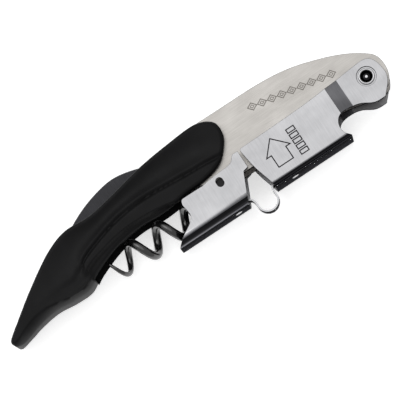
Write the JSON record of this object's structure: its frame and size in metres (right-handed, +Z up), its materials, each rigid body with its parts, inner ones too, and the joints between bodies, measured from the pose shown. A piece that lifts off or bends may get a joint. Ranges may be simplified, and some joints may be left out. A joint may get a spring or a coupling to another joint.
{
  "type": "waiters corkscrew",
  "caption": "Folding waiters corkscrew with a two-step hinged lever, coiled worm, small foil knife and black moulded grips, shown folded.",
  "frame": {"origin": "bottom centre of the folded tool lying on its side, as on a table", "axes": "+X along the handle towards the lever pivot, +Y towards the knife side, +Z up through the thickness"},
  "size_m": [0.1269, 0.0318, 0.0134],
  "materials": {
    "frame_steel": "brushed",
    "lever_steel": "brushed",
    "spring_steel": "polished",
    "rivet_steel": "polished",
    "pin_steel": "satin",
    "screw_steel": "black oxide",
    "worm_coating": "glossy black coating",
    "blade_coating": "charcoal coating",
    "grip_plastic": "satin"
  },
  "bodies": {
    "handle": {"frame_plate_front": "frame_steel", "frame_plate_back": "frame_steel", "spine_spacer": "pin_steel", "pivot_sleeve": "pin_steel", "lever_rivet": "rivet_steel", "grip_shell_front": "grip_plastic", "grip_shell_back": "grip_plastic", "grip_screws": "screw_steel", "knife_pivot_pin": "pin_steel", "knife_bushes": "pin_steel", "knife_spring": "pin_steel", "worm_pivot_pin": "pin_steel", "worm_bushes": "pin_steel"},
    "upper_lever": {"upper_lever": "lever_steel", "upper_spring_rivet": "rivet_steel", "step_spring": "spring_steel"},
    "lower_lever": {"lower_lever": "lever_steel", "lower_spring_rivet": "rivet_steel"},
    "worm": {"worm": "worm_coating"},
    "knife": {"knife_blade": "blade_coating"}
  },
  "joints": [
    {"name": "lever_swing", "type": "hinge", "parent": "handle", "child": "upper_lever", "pos_m": [0.05735, 0.0002, 0.0067], "axis": [0, 0, 1], "range_deg": [0, 165]},
    {"name": "step_flex", "type": "hinge", "parent": "upper_lever", "child": "lower_lever", "pos_m": [0.01625, -0.0127, 0.0067], "axis": [0, 0, 1], "range_deg": [0, 30], "stiffness_Nm_per_rad": 0.06, "deforming": ["step_spring"]},
    {"name": "worm_swing", "type": "hinge", "parent": "handle", "child": "worm", "pos_m": [0.00815, -0.0021, 0.0067], "axis": [0, 0, 1], "range_deg": [0, 90]},
    {"name": "knife_swing", "type": "hinge", "parent": "handle", "child": "knife", "pos_m": [0.00435, 0.0082, 0.0067], "axis": [0, 0, -1], "range_deg": [0, 140]}
  ],
  "couplings": [
    {"joint": "worm_swing", "follows": "lever_swing", "ratio": 0.545}
  ]
}
